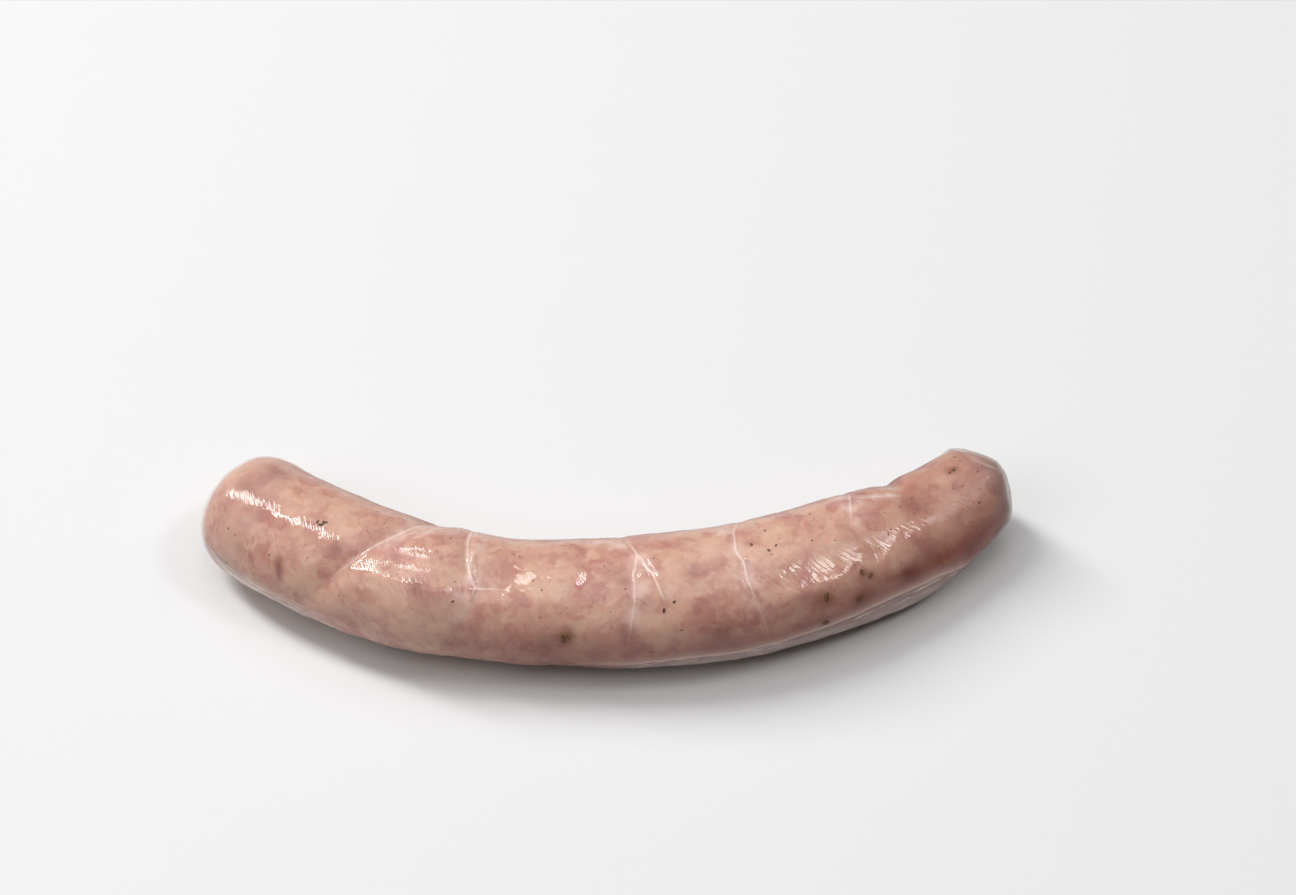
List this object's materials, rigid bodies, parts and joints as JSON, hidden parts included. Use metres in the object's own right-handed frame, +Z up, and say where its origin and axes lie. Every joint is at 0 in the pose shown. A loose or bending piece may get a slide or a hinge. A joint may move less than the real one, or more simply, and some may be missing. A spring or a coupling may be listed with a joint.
{
  "type": "raw sausage link",
  "caption": "Bent raw pork sausage in a thin moist casing, with blunt round ends, resting on a narrow flat band and pressed flat along its front and at its tip.",
  "frame": {"origin": "bottom centre of the link's bounding box, on the surface it lies on", "axes": "+X along the link from its fuller end to its pressed end, +Y from its outer side to its hollow side, +Z up"},
  "size_m": [0.1842, 0.054, 0.0271],
  "materials": {
    "raw_sausage": "soft pinkish raw filling, mottled with fat and pepper, under a moist glossy translucent casing"
  },
  "bodies": {
    "root": {"sausage": "raw_sausage"}
  },
  "joints": []
}
